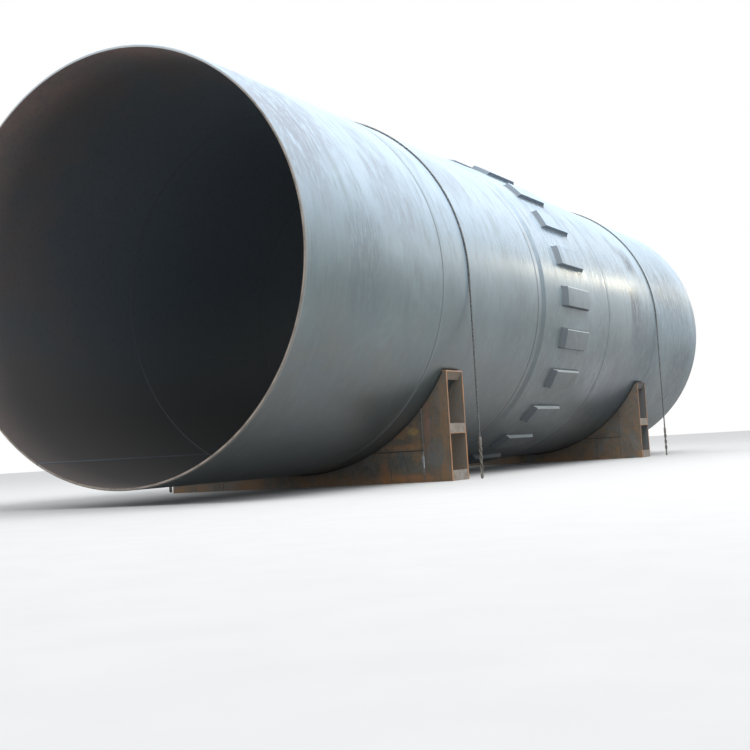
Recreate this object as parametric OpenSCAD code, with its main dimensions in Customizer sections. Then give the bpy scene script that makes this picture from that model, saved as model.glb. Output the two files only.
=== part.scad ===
// Rotary kiln shell section standing on two transport saddles, with its two rope lashings.
// X runs along the shell, from the front rim at minus X to the rear rim at plus X.
// Z is up, the saddles stand on Z = 0, and the origin is under the middle of the shell.

/* [Shell] */
// outer radius of the plain courses
shell_r = 2000; // [1850:10:2150]
// plate thickness of the plain courses
plate_t = 22; // [18:1:28]
// plate thickness of the tyre course
tyre_t = 46; // [36:1:56]
// taper of the tyre course, length for each unit of step
taper_ratio = 3.5; // [3:0.5:5]
// distance from a girth weld to the foot of the taper
taper_land = 110; // [80:5:130]
// length of the front course
front_len = 2700; // [2600:10:2900]
// length of the second course
second_len = 2730; // [2600:10:2900]
// length of the tyre course
tyre_len = 2820; // [2600:10:2900]
// length of the fourth course
fourth_len = 2360; // [2340:10:2380]
// length of the rear course
rear_len = 2680; // [2400:10:2800]
// outer bevel of the two free rims
rim_bevel = 7; // [3:1:10]

/* [Welds] */
// half width of a weld on the outer face
weld_half = 11; // [8:1:14]
// height of a weld above the plate
weld_crown = 3; // [2:0.5:5]
// land left below the weld groove
weld_land = 6; // [4:1:9]
// angle taken up by a lengthwise weld
seam_angle = 0.6; // [0.5:0.1:0.8]

/* [Tyre pads] */
// number of tyre pads around the shell
pad_count = 24; // [20:2:28]
// length of a tyre pad along the shell
pad_len = 985; // [800:5:1100]
// angle covered by one tyre pad
pad_angle = 6.8; // [5:0.2:9]
// thickness of a tyre pad
pad_t = 60; // [45:1:80]
// length of the slope at both ends of a tyre pad
pad_slope = 80; // [40:5:120]
// turn of the ring of pads about the shell
pad_turn = 0.4; // [0:0.1:1]
// shift of the ring of pads towards the front rim
pad_shift = 117; // [60:1:160]

/* [Saddles] */
// height of the shell underside above the floor
lift = 140; // [110:5:180]
// angle of a saddle tip below the shell axis
tip_angle = 29.6; // [28:0.2:33]
// width of the flat tip of a saddle web
tip_land = 44; // [36:1:56]
// depth of a saddle along the shell
saddle_depth = 430; // [360:2:440]
// thickness of the saddle webs
web_t = 28; // [18:1:36]
// distance from the front rim to the front saddle
front_saddle_at = 3080; // [3020:10:3150]
// distance from the front rim to the rear saddle
rear_saddle_at = 10120; // [10060:10:10150]
// width of the outer plate of a web
outer_plate_w = 316; // [280:4:360]
// width of the toe plate of a web
toe_w = 389; // [350:1:420]
// height of the level joint in a web above the floor
joint_z = 330; // [280:10:380]
// thickness of the battens between two webs
batten_t = 20; // [14:1:26]
// height of a batten
batten_h = 108; // [85:1:125]
// height of the upright lip along the upper edge of a top batten
batten_lip = 14; // [8:1:20]
// height of the middle battens above the floor
middle_at = 490; // [440:5:540]

/* [Lashings] */
// radius of a lashing rope
rope_r = 10; // [7:0.5:13]
// distance from the front rim to the front lashing
front_rope_at = 3330; // [3230:10:3420]
// distance from the front rim to the rear lashing
rear_rope_at = 10670; // [10650:10:10760]
// height of the rope sleeves above the floor
sleeve_at = 390; // [300:10:480]
// length of a rope sleeve
sleeve_len = 90; // [70:5:120]
// radius of a rope eye
eye_r = 15; // [13:1:22]

/* [Hidden] */
$fn = 160;
ri = shell_r - plate_t;
ro = shell_r;
rt = ri + tyre_t;
taper = (tyre_t - plate_t) * taper_ratio;
total = front_len + second_len + tyre_len + fourth_len + rear_len;
x0 = -total / 2;
x1 = x0 + front_len;
x2 = x1 + second_len;
x3 = x2 + tyre_len;
x4 = x3 + fourth_len;
x5 = x4 + rear_len;
zc = shell_r + lift;
front_seam = -120;
second_seam = 195;
sector = 360 / pad_count;
tyre_seam = pad_turn - (round(90 / sector) + 0.5) * sector;
fourth_seam = 98;
rear_seam = -78;
bead_end = weld_half * 1.4;
tip_z = zc - shell_r * sin(tip_angle);
saddle_half = shell_r * cos(tip_angle) + tip_land;
joint_y = saddle_half - outer_plate_w;
toe_y = joint_y - toe_w;
gap = saddle_depth - 2 * web_t;

// Lays a shape turned about Z along the shell axis, with its Z along X.
module along_shell(x = 0) {
    translate([x, 0, zc]) rotate([0, 90, 0]) children();
}

// A course of the shell: one plate rolled to a ring, open at its lengthwise seam.
// Both ends carry an outer weld groove, or a small bevel on a free rim.
module course(len, seam, first = false, last = false) {
    a = first ? rim_bevel : weld_half;
    b = last ? rim_bevel : weld_half;
    la = first ? plate_t - rim_bevel : weld_land;
    lb = last ? plate_t - rim_bevel : weld_land;
    rotate([0, 0, seam + seam_angle / 2])
        rotate_extrude(angle = 360 - seam_angle)
            polygon([[ri, 0], [ri, len], [ri + lb, len], [ro, len - b], [ro, a], [ri + la, 0]]);
}

module thick_course(len, seam) {
    rotate([0, 0, seam + seam_angle / 2])
        rotate_extrude(angle = 360 - seam_angle)
            polygon([[ri, 0], [ri, len], [ri + weld_land, len], [ro, len - weld_half],
                [ro, len - taper_land], [rt, len - taper_land - taper], [rt, taper_land + taper],
                [ro, taper_land], [ro, weld_half], [ri + weld_land, 0]]);
}

// Weld between two courses: filling of the outer groove and a flat bead inside.
module girth_weld() {
    rotate_extrude() polygon([[ri + weld_land, 0], [ro, -weld_half], [ro + weld_crown, -weld_half * 0.6],
        [ro + weld_crown, weld_half * 0.6], [ro, weld_half]]);
    rotate_extrude() polygon([[ri, -weld_half * 0.8], [ri, weld_half * 0.8],
        [ri - weld_crown, weld_half * 0.45], [ri - weld_crown, -weld_half * 0.45]]);
}

// Full thickness weld that closes the seam of a plain course, proud on both faces.
module plain_seam(len, seam, first = false, last = false) {
    a = first ? rim_bevel : weld_half;
    b = last ? rim_bevel : weld_half;
    la = first ? plate_t - rim_bevel : weld_land;
    lb = last ? plate_t - rim_bevel : weld_land;
    ca = bead_end;
    cb = len - bead_end;
    rotate([0, 0, seam - seam_angle / 2])
        rotate_extrude(angle = seam_angle)
            polygon([[ri, 0], [ri, ca], [ri - weld_crown, ca], [ri - weld_crown, cb], [ri, cb], [ri, len],
                [ri + lb, len], [ro, len - b], [ro, cb], [ro + weld_crown, cb], [ro + weld_crown, ca],
                [ro, ca], [ro, a], [ri + la, 0]]);
}

module tapered_seam(len, seam) {
    ca = bead_end;
    cb = len - bead_end;
    ta = taper_land + taper;
    tb = len - taper_land - taper;
    rotate([0, 0, seam - seam_angle / 2])
        rotate_extrude(angle = seam_angle)
            polygon([[ri, 0], [ri, ca], [ri - weld_crown, ca], [ri - weld_crown, cb], [ri, cb], [ri, len],
                [ri + weld_land, len], [ro, len - weld_half], [ro, len - taper_land], [rt, tb],
                [rt + weld_crown, tb], [rt + weld_crown, ta], [rt, ta], [ro, taper_land],
                [ro, weld_half], [ri + weld_land, 0]]);
}

module front_course() {
    color([0.38, 0.43, 0.46]) along_shell(x0) course(front_len, turned(front_seam), first = true);
}

module second_course() {
    color([0.38, 0.43, 0.46]) along_shell(x1) course(second_len, turned(second_seam));
}

module tyre_course() {
    color([0.42, 0.47, 0.5]) along_shell(x2) thick_course(tyre_len, turned(tyre_seam));
}

module fourth_course() {
    color([0.38, 0.43, 0.46]) along_shell(x3) course(fourth_len, turned(fourth_seam));
}

module rear_course() {
    color([0.38, 0.43, 0.46]) along_shell(x4) course(rear_len, turned(rear_seam), last = true);
}

// Turns an angle measured up from the near side into one about the shell axis.
function turned(a) = -90 - a;

module front_girth_weld() {
    color([0.5, 0.52, 0.53]) along_shell(x1) girth_weld();
}

module second_girth_weld() {
    color([0.5, 0.52, 0.53]) along_shell(x2) girth_weld();
}

module third_girth_weld() {
    color([0.5, 0.52, 0.53]) along_shell(x3) girth_weld();
}

module fourth_girth_weld() {
    color([0.5, 0.52, 0.53]) along_shell(x4) girth_weld();
}

module front_lengthwise_weld() {
    color([0.5, 0.52, 0.53]) along_shell(x0) plain_seam(front_len, turned(front_seam), first = true);
}

module second_lengthwise_weld() {
    color([0.5, 0.52, 0.53]) along_shell(x1) plain_seam(second_len, turned(second_seam));
}

module tyre_lengthwise_weld() {
    color([0.5, 0.52, 0.53]) along_shell(x2) tapered_seam(tyre_len, turned(tyre_seam));
}

module fourth_lengthwise_weld() {
    color([0.5, 0.52, 0.53]) along_shell(x3) plain_seam(fourth_len, turned(fourth_seam));
}

module rear_lengthwise_weld() {
    color([0.5, 0.52, 0.53]) along_shell(x4) plain_seam(rear_len, turned(rear_seam), last = true);
}

// Ring of pads that carry the tyre, rolled to the tyre course and sloped at both ends.
module tyre_pads() {
    mid = (x2 + x3) / 2 - pad_shift;
    color([0.45, 0.5, 0.53])
        for (i = [0 : pad_count - 1])
            along_shell(mid - pad_len / 2)
                rotate([0, 0, turned(pad_turn + i * sector) - pad_angle / 2])
                    rotate_extrude(angle = pad_angle)
                        polygon([[rt, 0], [rt, pad_len], [rt + pad_t, pad_len - pad_slope],
                            [rt + pad_t, pad_slope]]);
}

// Places a piece at both webs of a saddle and mirrors it to both sides.
module at_webs(at) {
    for (s = [0, 1])
        for (w = [0, saddle_depth - web_t])
            mirror([0, s, 0]) translate([x0 + at + w, 0, 0]) children();
}

module both_sides(at) {
    for (s = [0, 1])
        mirror([0, s, 0]) translate([x0 + at + web_t, 0, 0]) children();
}

// Plate in the plane of a web, cut to the curve of the shell.
module web_plate(ya, yb, za, zb) {
    difference() {
        translate([0, -ya, za]) cube([web_t, ya - yb, zb - za]);
        translate([-web_t, 0, zc]) rotate([0, 90, 0]) cylinder(r = ro, h = web_t * 3, $fn = 160);
    }
}

module outer_webs(at) {
    color([0.42, 0.3, 0.22]) at_webs(at) web_plate(saddle_half, joint_y, 0, tip_z);
}

module upper_webs(at) {
    color([0.38, 0.29, 0.23]) at_webs(at) web_plate(joint_y, 0, joint_z, tip_z);
}

module toe_plates(at) {
    color([0.44, 0.32, 0.22]) at_webs(at) web_plate(joint_y, toe_y, 0, joint_z);
}

module keel_plates(at) {
    color([0.36, 0.28, 0.23])
        for (w = [0, saddle_depth - web_t])
            translate([x0 + at + w, 0, 0]) web_plate(toe_y, -toe_y, 0, joint_z);
}

// Leaning batten that ties the two web tips, parallel to the shell beside it.
// Its upper edge is cut upright, flush with the edges of the webs.
module top_battens(at) {
    run = batten_h - batten_lip;
    foot_y = -saddle_half + run * sin(tip_angle);
    foot_z = tip_z - batten_lip - run * cos(tip_angle);
    color([0.42, 0.32, 0.25])
        both_sides(at)
            rotate([90, 0, 90])
                linear_extrude(height = gap)
                    polygon([[-saddle_half, tip_z], [-saddle_half, tip_z - batten_lip], [foot_y, foot_z],
                        [foot_y + batten_t * cos(tip_angle), foot_z + batten_t * sin(tip_angle)],
                        [-saddle_half + batten_t / cos(tip_angle) - batten_lip * tan(tip_angle), tip_z]]);
}

module flat_battens(at, z) {
    both_sides(at)
        translate([0, -saddle_half, z])
            cube([gap, batten_t, batten_h]);
}

module keel_spacers(at) {
    color([0.4, 0.32, 0.26])
        both_sides(at)
            translate([0, -joint_y, 0])
                cube([gap, batten_t, batten_h]);
}

module front_saddle_outer_webs() {
    outer_webs(front_saddle_at);
}

module front_saddle_upper_webs() {
    upper_webs(front_saddle_at);
}

module front_saddle_toe_plates() {
    toe_plates(front_saddle_at);
}

module front_saddle_keel_plates() {
    keel_plates(front_saddle_at);
}

module front_saddle_top_battens() {
    top_battens(front_saddle_at);
}

module front_saddle_middle_battens() {
    color([0.6, 0.54, 0.5]) flat_battens(front_saddle_at, middle_at);
}

module front_saddle_bottom_battens() {
    color([0.6, 0.54, 0.5]) flat_battens(front_saddle_at, 0);
}

module front_saddle_keel_spacers() {
    keel_spacers(front_saddle_at);
}

module rear_saddle_outer_webs() {
    outer_webs(rear_saddle_at);
}

module rear_saddle_upper_webs() {
    upper_webs(rear_saddle_at);
}

module rear_saddle_toe_plates() {
    toe_plates(rear_saddle_at);
}

module rear_saddle_keel_plates() {
    keel_plates(rear_saddle_at);
}

module rear_saddle_top_battens() {
    top_battens(rear_saddle_at);
}

module rear_saddle_middle_battens() {
    color([0.6, 0.54, 0.5]) flat_battens(rear_saddle_at, middle_at);
}

module rear_saddle_bottom_battens() {
    color([0.6, 0.54, 0.5]) flat_battens(rear_saddle_at, 0);
}

module rear_saddle_keel_spacers() {
    keel_spacers(rear_saddle_at);
}

// Taut rope over the shell, hanging straight down on both sides to its sleeves.
module rope(at) {
    bend = shell_r + rope_r;
    color([0.2, 0.19, 0.18])
        translate([x0 + at, 0, 0]) {
            translate([0, 0, zc])
                rotate([90, 0, 90])
                    rotate_extrude(angle = 180)
                        translate([bend, 0]) circle(r = rope_r, $fn = 24);
            for (s = [-1, 1])
                translate([0, s * bend, sleeve_at])
                    cylinder(r = rope_r, h = zc - sleeve_at, $fn = 24);
        }
}

// Pressed sleeve and rope eye at each end of a lashing.
module eyes(at) {
    bend = shell_r + rope_r;
    low = eye_r + rope_r;
    foot = sleeve_at - sleeve_len / 2;
    color([0.3, 0.28, 0.26])
        for (s = [-1, 1])
            translate([x0 + at, s * bend, 0]) {
                difference() {
                    translate([0, 0, foot]) cylinder(r = eye_r + rope_r * 1.1, h = sleeve_len, $fn = 32);
                    translate([0, 0, sleeve_at]) cylinder(r = rope_r, h = sleeve_len, $fn = 24);
                }
                for (t = [-1, 1])
                    translate([t * eye_r, 0, low])
                        cylinder(r = rope_r, h = foot - low + rope_r / 2, $fn = 24);
                translate([0, 0, low])
                    rotate([-90, 0, 0])
                        rotate_extrude(angle = 180)
                            translate([eye_r, 0]) circle(r = rope_r, $fn = 24);
            }
}

module front_lashing_rope() {
    rope(front_rope_at);
}

module front_lashing_eyes() {
    eyes(front_rope_at);
}

module rear_lashing_rope() {
    rope(rear_rope_at);
}

module rear_lashing_eyes() {
    eyes(rear_rope_at);
}

front_course();
second_course();
tyre_course();
fourth_course();
rear_course();
front_girth_weld();
second_girth_weld();
third_girth_weld();
fourth_girth_weld();
front_lengthwise_weld();
second_lengthwise_weld();
tyre_lengthwise_weld();
fourth_lengthwise_weld();
rear_lengthwise_weld();
tyre_pads();
front_saddle_outer_webs();
front_saddle_upper_webs();
front_saddle_toe_plates();
front_saddle_keel_plates();
front_saddle_top_battens();
front_saddle_middle_battens();
front_saddle_bottom_battens();
front_saddle_keel_spacers();
rear_saddle_outer_webs();
rear_saddle_upper_webs();
rear_saddle_toe_plates();
rear_saddle_keel_plates();
rear_saddle_top_battens();
rear_saddle_middle_battens();
rear_saddle_bottom_battens();
rear_saddle_keel_spacers();
front_lashing_rope();
front_lashing_eyes();
rear_lashing_rope();
rear_lashing_eyes();
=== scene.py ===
import math
import random

import bpy
import bmesh
from mathutils import Matrix, Vector


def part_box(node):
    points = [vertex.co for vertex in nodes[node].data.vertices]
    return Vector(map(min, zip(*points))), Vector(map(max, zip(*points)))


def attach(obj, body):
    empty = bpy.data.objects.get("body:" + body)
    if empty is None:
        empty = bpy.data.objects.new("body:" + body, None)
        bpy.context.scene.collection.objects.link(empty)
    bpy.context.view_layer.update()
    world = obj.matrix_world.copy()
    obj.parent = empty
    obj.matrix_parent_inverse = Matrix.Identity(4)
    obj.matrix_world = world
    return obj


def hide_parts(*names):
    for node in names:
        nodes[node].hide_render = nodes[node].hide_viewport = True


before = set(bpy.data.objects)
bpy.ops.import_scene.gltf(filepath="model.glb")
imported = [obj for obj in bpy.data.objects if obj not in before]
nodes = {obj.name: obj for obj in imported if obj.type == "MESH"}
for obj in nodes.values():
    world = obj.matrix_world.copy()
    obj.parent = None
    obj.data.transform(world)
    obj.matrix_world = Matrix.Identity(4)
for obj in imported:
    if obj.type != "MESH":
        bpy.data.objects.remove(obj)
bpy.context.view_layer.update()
random.seed(7)

scene = bpy.context.scene
scene.view_settings.view_transform = "Standard"


def middle_x(name):
    """Middle of a node along the shell."""
    low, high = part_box(name)
    return (low.x + high.x) / 2


# Rims and girth seams along the shell, in metres like all sizes here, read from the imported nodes
FRONT_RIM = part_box("front_course")[0].x
SEAM_1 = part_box("front_course")[1].x
SEAM_2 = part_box("second_course")[1].x
SEAM_3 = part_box("tyre_course")[1].x
SEAM_4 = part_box("fourth_course")[1].x
REAR_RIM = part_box("rear_course")[1].x

# Sizes of the part's source that no box shows: plate of the tyre pads, and the land and the taper
# between a girth weld and the full thickness of the tyre course
PAD_PLATE = 0.06
TAPER_LAND = 0.11
TAPER = 0.084

# Height of the shell's axis, and radii: plain courses, tyre course, outer faces of the tyre pads,
# and the limit below which a face belongs to the bore
AXIS_Z = (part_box("front_course")[1].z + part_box("front_course")[0].z) / 2
SHELL_R = (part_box("front_course")[1].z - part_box("front_course")[0].z) / 2
TYRE_R = (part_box("tyre_course")[1].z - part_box("tyre_course")[0].z) / 2
PAD_R = TYRE_R + PAD_PLATE
BORE_R = SHELL_R - 0.018

# Saddles: half width, tips, joints between the plates of a web, and the middle battens
SADDLE_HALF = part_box("front_saddle_outer_webs")[1].y
TIP_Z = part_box("front_saddle_outer_webs")[1].z
JOINT_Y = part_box("front_saddle_upper_webs")[1].y
JOINT_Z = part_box("front_saddle_upper_webs")[0].z
TOE_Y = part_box("front_saddle_keel_plates")[1].y
MIDDLE_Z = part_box("front_saddle_middle_battens")[0].z
FRONT_SADDLE_X = middle_x("front_saddle_middle_battens")
REAR_SADDLE_X = middle_x("rear_saddle_middle_battens")
WEB_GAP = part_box("front_saddle_middle_battens")[1].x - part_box("front_saddle_middle_battens")[0].x

# Camera as fitted to the photo: focal length and shift in pixels of the photo, then place and turn
PHOTO_WIDTH = 750
FOCAL_LENGTH = 1258.8
CENTRE_SHIFT = -27.5
SENSOR = 36.0
CAMERA_AT = Vector((FRONT_RIM - 8.8374, -7.1994, 0.3924))
YAW = math.radians(27.592)
PITCH = math.radians(4.532)
ROLL = math.radians(-3.405)

# Angle about the axis at which the shell's long highlight lies, in degrees
GLOSS_ANGLE = 20

# Pitch of the ripples on the long weld beads
RIPPLE = 0.012

# Length of one turn of the strands in a lashing and in its eyes, and steps along their routes
ROPE_LAY = 0.13
EYE_LAY = 0.11
ROPE_STEP = 0.009
EYE_STEP = 0.006

# Leg and step of the fillets round the tyre pads, and the leg of the welds that hold the battens
FILLET_LEG = 0.014
FILLET_STEP = 0.0055
BATTEN_LEG = 0.009

# Width and height of the beads over the webs' upright joints, and over their other joints
JOINT_BEAD = (0.016, 0.0035)
SMALL_BEAD = (0.014, 0.003)

# Dark line of painted shade round the shell in the toe of each girth weld and at the top of the
# tyre course's rear taper: place, depth, heights over which it grows, and its share below them
TOE_SHADE_LINES = (
    (SEAM_1, 0.75, -0.25, 0.2, 0.0),
    (SEAM_2, 0.9, -0.5, 0.0, 0.4),
    (SEAM_3 - 0.18, 0.6, -0.4, 0.0, 0.0),
    (SEAM_3, 0.2, -0.4, 0.0, 0.0),
    (SEAM_4, 0.12, -0.4, 0.0, 0.0))

# Sling and handling scuffs: place from the front rim, half length, angle, half angle, depth and tone
DARK = (0.06, 0.09, 0.125)
PALE = (0.27, 0.31, 0.38)
SCUFFS = (
    (9.95, 0.26, 26, 6, 1.0, DARK), (9.6, 0.14, 33, 5, 0.6, DARK), (9.64, 0.26, -2, 13, 1.0, DARK),
    (9.5, 0.1, 3, 8, 0.9, DARK), (8.29, 0.03, 0, 6, 0.5, DARK), (9.9, 1.2, -34, 12, 0.75, DARK),
    (10.4, 0.5, -8, 12, 0.5, DARK), (0.62, 0.5, 42, 16, 0.75, PALE), (0.3, 0.3, 30, 18, 0.7, PALE),
    (0.35, 0.25, 64, 10, 0.6, PALE), (1.9, 0.4, 20, 12, 0.5, PALE), (1.05, 0.3, -3, 14, 0.4, DARK),
    (4.7, 0.4, -24, 12, 0.35, DARK), (11.8, 0.9, 22, 24, 0.6, DARK), (12.4, 0.6, -25, 15, 0.6, DARK),
    (3.8, 0.3, 38, 9, 0.4, PALE), (7.0, 0.6, 40, 9, 0.4, PALE), (5.6, 0.5, 62, 9, 0.4, PALE),
    (8.2, 0.5, -30, 8, 0.6, PALE))

# Stains on the near side of the front saddle's front web: place across, height, half sizes, tone
# and depth
STAINS = (
    (-1.35, 0.53, 0.075, 0.035, (0.55, 0.38, 0.14), 0.85),
    (-1.65, 0.52, 0.05, 0.04, (0.42, 0.26, 0.13), 0.6),
    (-1.0, 0.09, 0.05, 0.12, (0.52, 0.23, 0.1), 0.85),
    (-1.26, 0.37, 0.2, 0.03, (0.44, 0.25, 0.13), 0.8),
    (-1.2, 0.04, 0.36, 0.045, (0.52, 0.25, 0.11), 0.9),
    (-1.53, 0.62, 0.035, 0.3, (0.42, 0.21, 0.14), 0.7),
    (-1.2, 0.2, 0.17, 0.1, (0.12, 0.145, 0.14), 0.85),
    (-1.62, 0.3, 0.1, 0.13, (0.2, 0.22, 0.22), 0.7),
    (-0.75, 0.12, 0.2, 0.1, (0.1, 0.1, 0.1), 0.7),
    (-1.72, 0.1, 0.05, 0.09, (0.45, 0.24, 0.1), 0.7),
    (-1.455, 0.24, 0.018, 0.05, (0.55, 0.62, 0.66), 0.75),
    (-1.73, 0.72, 0.045, 0.42, (0.42, 0.25, 0.13), 0.75),
    (-1.462, 0.11, 0.014, 0.025, (0.5, 0.56, 0.6), 0.6))


def make_camera():
    """Camera at the photo's place: close to the floor, looking a little up along the shell."""
    ahead = Vector((math.cos(PITCH) * math.cos(YAW), math.cos(PITCH) * math.sin(YAW), math.sin(PITCH)))
    right = ahead.cross(Vector((0, 0, 1))).normalized()
    up = right.cross(ahead)
    side = math.cos(ROLL) * right + math.sin(ROLL) * up
    top = -math.sin(ROLL) * right + math.cos(ROLL) * up
    cam = bpy.data.cameras.new("camera")
    cam.sensor_width = SENSOR
    cam.lens = FOCAL_LENGTH / PHOTO_WIDTH * SENSOR
    cam.shift_y = CENTRE_SHIFT / PHOTO_WIDTH
    cam.clip_start = 0.05
    cam.clip_end = 200
    obj = bpy.data.objects.new("camera", cam)
    scene.collection.objects.link(obj)
    turn = Matrix((side, top, -ahead)).transposed().to_4x4()
    obj.matrix_world = Matrix.Translation(CAMERA_AT) @ turn
    scene.camera = obj


class Mat:
    """One node material, with short calls for the nodes used here."""

    def __init__(self, name):
        self.mat = bpy.data.materials.new(name)
        self.mat.use_nodes = True
        self.tree = self.mat.node_tree
        self.tree.nodes.clear()
        out = self.tree.nodes.new("ShaderNodeOutputMaterial")
        self.bsdf = self.tree.nodes.new("ShaderNodeBsdfPrincipled")
        self.link(self.bsdf.outputs[0], out.inputs[0])
        coordinates = self.tree.nodes.new("ShaderNodeTexCoord")
        self.pos = coordinates.outputs["Object"]
        self.x, self.y, self.z = self.split(self.pos)

    def link(self, a, b):
        self.tree.links.new(a, b)

    def put(self, socket, value):
        if isinstance(value, bpy.types.NodeSocket):
            self.link(value, socket)
        else:
            socket.default_value = value

    def split(self, vector):
        """The three parts of a vector."""
        n = self.tree.nodes.new("ShaderNodeSeparateXYZ")
        self.link(vector, n.inputs[0])
        return n.outputs

    def math(self, op, a, b=0.0, clamp=False):
        n = self.tree.nodes.new("ShaderNodeMath")
        n.operation = op
        n.use_clamp = clamp
        self.put(n.inputs[0], a)
        self.put(n.inputs[1], b)
        return n.outputs[0]

    def plus(self, a, b):
        return self.math("ADD", a, b)

    def minus(self, a, b):
        return self.math("SUBTRACT", a, b)

    def over(self, a, b):
        return self.math("DIVIDE", a, b)

    def most(self, a, b):
        return self.math("MAXIMUM", a, b)

    def below(self, value, limit):
        return self.math("LESS_THAN", value, limit)

    def above(self, value, limit):
        return self.math("GREATER_THAN", value, limit)

    def absolute(self, value):
        return self.math("ABSOLUTE", value)

    def flip(self, value):
        """1 minus value."""
        return self.math("SUBTRACT", 1.0, value)

    def times(self, *values):
        out = values[0]
        for v in values[1:]:
            out = self.math("MULTIPLY", out, v)
        return out

    def length(self, a, b):
        """Length of the hypotenuse over a and b."""
        return self.math("SQRT", self.plus(self.times(a, a), self.times(b, b)))

    def scaled(self, sx, sy, sz, turn=(0.0, 0.0, 0.0)):
        n = self.tree.nodes.new("ShaderNodeMapping")
        n.inputs["Scale"].default_value = (sx, sy, sz)
        n.inputs["Rotation"].default_value = turn
        self.link(self.pos, n.inputs["Vector"])
        return n.outputs[0]

    def noise(self, scale, detail=3.0, rough=0.5, at=None, distort=0.0):
        n = self.tree.nodes.new("ShaderNodeTexNoise")
        n.inputs["Scale"].default_value = scale
        n.inputs["Detail"].default_value = detail
        n.inputs["Roughness"].default_value = rough
        n.inputs["Distortion"].default_value = distort
        self.link(at if at is not None else self.pos, n.inputs["Vector"])
        return n.outputs[0]

    def ramp(self, value, low, high):
        """0 below low, 1 above high, smooth between."""
        n = self.tree.nodes.new("ShaderNodeMapRange")
        n.interpolation_type = "SMOOTHSTEP"
        self.put(n.inputs["Value"], value)
        n.inputs["From Min"].default_value = low
        n.inputs["From Max"].default_value = high
        return n.outputs[0]

    def near(self, value, centre, half, soft):
        """1 where value is within half of centre, falling to 0 over soft."""
        return self.flip(self.ramp(self.absolute(self.minus(value, centre)), half, half + soft))

    def mix(self, factor, a, b):
        """Colour between a and b."""
        n = self.tree.nodes.new("ShaderNodeMix")
        n.data_type = "RGBA"
        self.put(n.inputs["Factor"], factor)
        self.put(n.inputs["A"], a if isinstance(a, bpy.types.NodeSocket) else (*a, 1.0))
        self.put(n.inputs["B"], b if isinstance(b, bpy.types.NodeSocket) else (*b, 1.0))
        return n.outputs["Result"]

    def blend(self, factor, a, b):
        """Number between a and b."""
        n = self.tree.nodes.new("ShaderNodeMix")
        n.data_type = "FLOAT"
        self.put(n.inputs["Factor"], factor)
        self.put(n.inputs["A"], a)
        self.put(n.inputs["B"], b)
        return n.outputs["Result"]

    def bump(self, height, strength, distance):
        n = self.tree.nodes.new("ShaderNodeBump")
        n.inputs["Strength"].default_value = strength
        n.inputs["Distance"].default_value = distance
        self.put(n.inputs["Height"], height)
        self.link(n.outputs[0], self.bsdf.inputs["Normal"])

    def radius(self):
        """Distance from the shell's axis."""
        return self.length(self.y, self.minus(self.z, AXIS_Z))

    def angle(self):
        """Angle about the shell's axis in degrees: 0 on the near side, 90 on top."""
        a = self.math("ARCTAN2", self.minus(self.z, AXIS_Z), self.times(self.y, -1.0))
        return self.times(a, 180 / math.pi)

    def up(self, radius):
        """Height over the shell's axis as a share of radius: -1 at the bottom, 1 on top."""
        return self.over(self.minus(self.z, AXIS_Z), radius)

    def finish(self, colour, rough, metal=0.0, ior=1.5):
        self.link(colour, self.bsdf.inputs["Base Color"])
        self.put(self.bsdf.inputs["Roughness"], rough)
        self.bsdf.inputs["Metallic"].default_value = metal
        self.bsdf.inputs["IOR"].default_value = ior
        return self.mat


# Mill scale of the rolled plates
def dust_dirt_and_painted_light(m, colour, up, down, patch):
    """Pale dusty film and painted light on top, brown haze, dirty film and painted shade underneath, a
    painted highlight on the rear sides, painted shade low on the middle courses.
    """
    drift = m.times(m.minus(patch, 0.5), 0.6)
    # lighter on top: a dusty film, and painted light from above
    dust_and_top_light = m.math("ADD", m.ramp(up, -0.28, 0.5), drift, clamp=True)
    away = m.blend(m.ramp(m.y, -0.5, 0.8), 0.9, 0.55)
    colour = m.mix(m.times(dust_and_top_light, away), colour, (0.54, 0.69, 0.84))
    haze = m.noise(1.3, 5.0, 0.65, distort=0.3)
    brown = m.times(m.ramp(haze, 0.44, 0.66), m.ramp(down, 0.05, 0.5))
    colour = m.mix(m.times(brown, 0.55), colour, (0.16, 0.15, 0.12))
    # darker underneath: a dirty film, and painted shade where less light falls
    dirt_and_under_shade = m.ramp(down, 0.17, 0.78)
    colour = m.mix(m.times(dirt_and_under_shade, 0.76), colour, (0.055, 0.06, 0.062))
    # painted highlight: the sides of the rear courses are painted a pale sky blue
    rear = m.ramp(m.x, SEAM_4 - 1.2, SEAM_4 + 0.6)
    pale = m.times(rear, m.ramp(up, -0.55, 0.1), m.flip(m.ramp(up, 0.3, 0.6)))
    colour = m.mix(m.times(pale, 0.36), colour, (0.6, 0.76, 0.9))
    # painted shade: the colour is darkened low down on the middle courses
    low_painted_shade = m.times(m.ramp(m.x, SEAM_1 - 0.3, SEAM_1 + 0.6), m.flip(m.ramp(up, -0.1, 0.3)))
    low_painted_shade = m.times(low_painted_shade, m.flip(m.ramp(m.x, SEAM_4 - 1.2, SEAM_4 + 0.2)))
    return m.mix(m.times(low_painted_shade, 0.22), colour, (0.04, 0.05, 0.055))


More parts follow.
